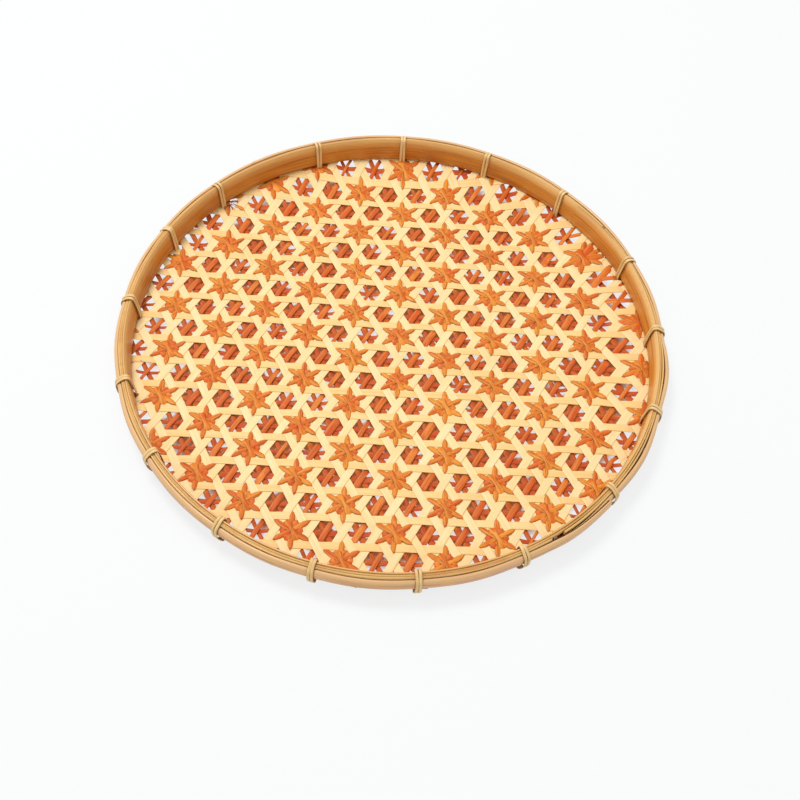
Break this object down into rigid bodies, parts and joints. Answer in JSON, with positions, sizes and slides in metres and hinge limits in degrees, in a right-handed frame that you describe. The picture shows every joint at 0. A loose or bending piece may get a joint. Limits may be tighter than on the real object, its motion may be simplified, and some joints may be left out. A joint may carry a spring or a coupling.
{
  "type": "hanging wall basket",
  "caption": "Shallow round tray basket of open hexagonal bamboo weave with dyed flower splints, bound between bamboo hoops with cane lashings.",
  "frame": {"origin": "middle of the rim, on the plane that the undersides of the cane lashings rest on", "axes": "+Z out of the tray's open side, +X along the strips that run straight across, +Y up when the basket hangs on a wall"},
  "size_m": [0.3523, 0.3522, 0.0237],
  "materials": {
    "hoop_bamboo": "satin split bamboo skin",
    "filler_bamboo": "satin split bamboo",
    "cane": "smooth split cane",
    "cream_bamboo": "matt shaved bamboo strip",
    "dyed_bamboo": "matt dyed bamboo splint"
  },
  "bodies": {
    "root": {"hoop_inner": "hoop_bamboo", "hoop_outer": "hoop_bamboo", "filler_inner": "filler_bamboo", "filler_outer": "filler_bamboo", "lashing_01": "cane", "lashing_02": "cane", "lashing_03": "cane", "lashing_04": "cane", "lashing_05": "cane", "lashing_06": "cane", "lashing_07": "cane", "lashing_08": "cane", "lashing_09": "cane", "lashing_10": "cane", "lashing_11": "cane", "lashing_12": "cane", "lashing_13": "cane", "lashing_14": "cane", "lashing_15": "cane", "lashing_16": "cane", "lashing_17": "cane", "cream_row_01": "cream_bamboo", "cream_row_02": "cream_bamboo", "cream_row_03": "cream_bamboo", "cream_row_04": "cream_bamboo", "cream_row_05": "cream_bamboo", "cream_row_06": "cream_bamboo", "cream_row_07": "cream_bamboo", "cream_row_08": "cream_bamboo", "cream_row_09": "cream_bamboo", "cream_row_10": "cream_bamboo", "cream_row_11": "cream_bamboo", "cream_row_12": "cream_bamboo", "cream_row_13": "cream_bamboo", "cream_row_14": "cream_bamboo", "cream_row_15": "cream_bamboo", "cream_row_16": "cream_bamboo", "cream_row_17": "cream_bamboo", "cream_row_18": "cream_bamboo", "cream_row_19": "cream_bamboo", "cream_diagonals": "cream_bamboo", "under_splints": "dyed_bamboo", "flower_column_01": "dyed_bamboo", "flower_column_02": "dyed_bamboo", "flower_column_03": "dyed_bamboo", "flower_column_04": "dyed_bamboo", "flower_column_05": "dyed_bamboo", "flower_column_06": "dyed_bamboo", "flower_column_07": "dyed_bamboo", "flower_column_08": "dyed_bamboo", "flower_column_09": "dyed_bamboo", "flower_column_10": "dyed_bamboo", "flower_column_11": "dyed_bamboo"}
  },
  "joints": []
}
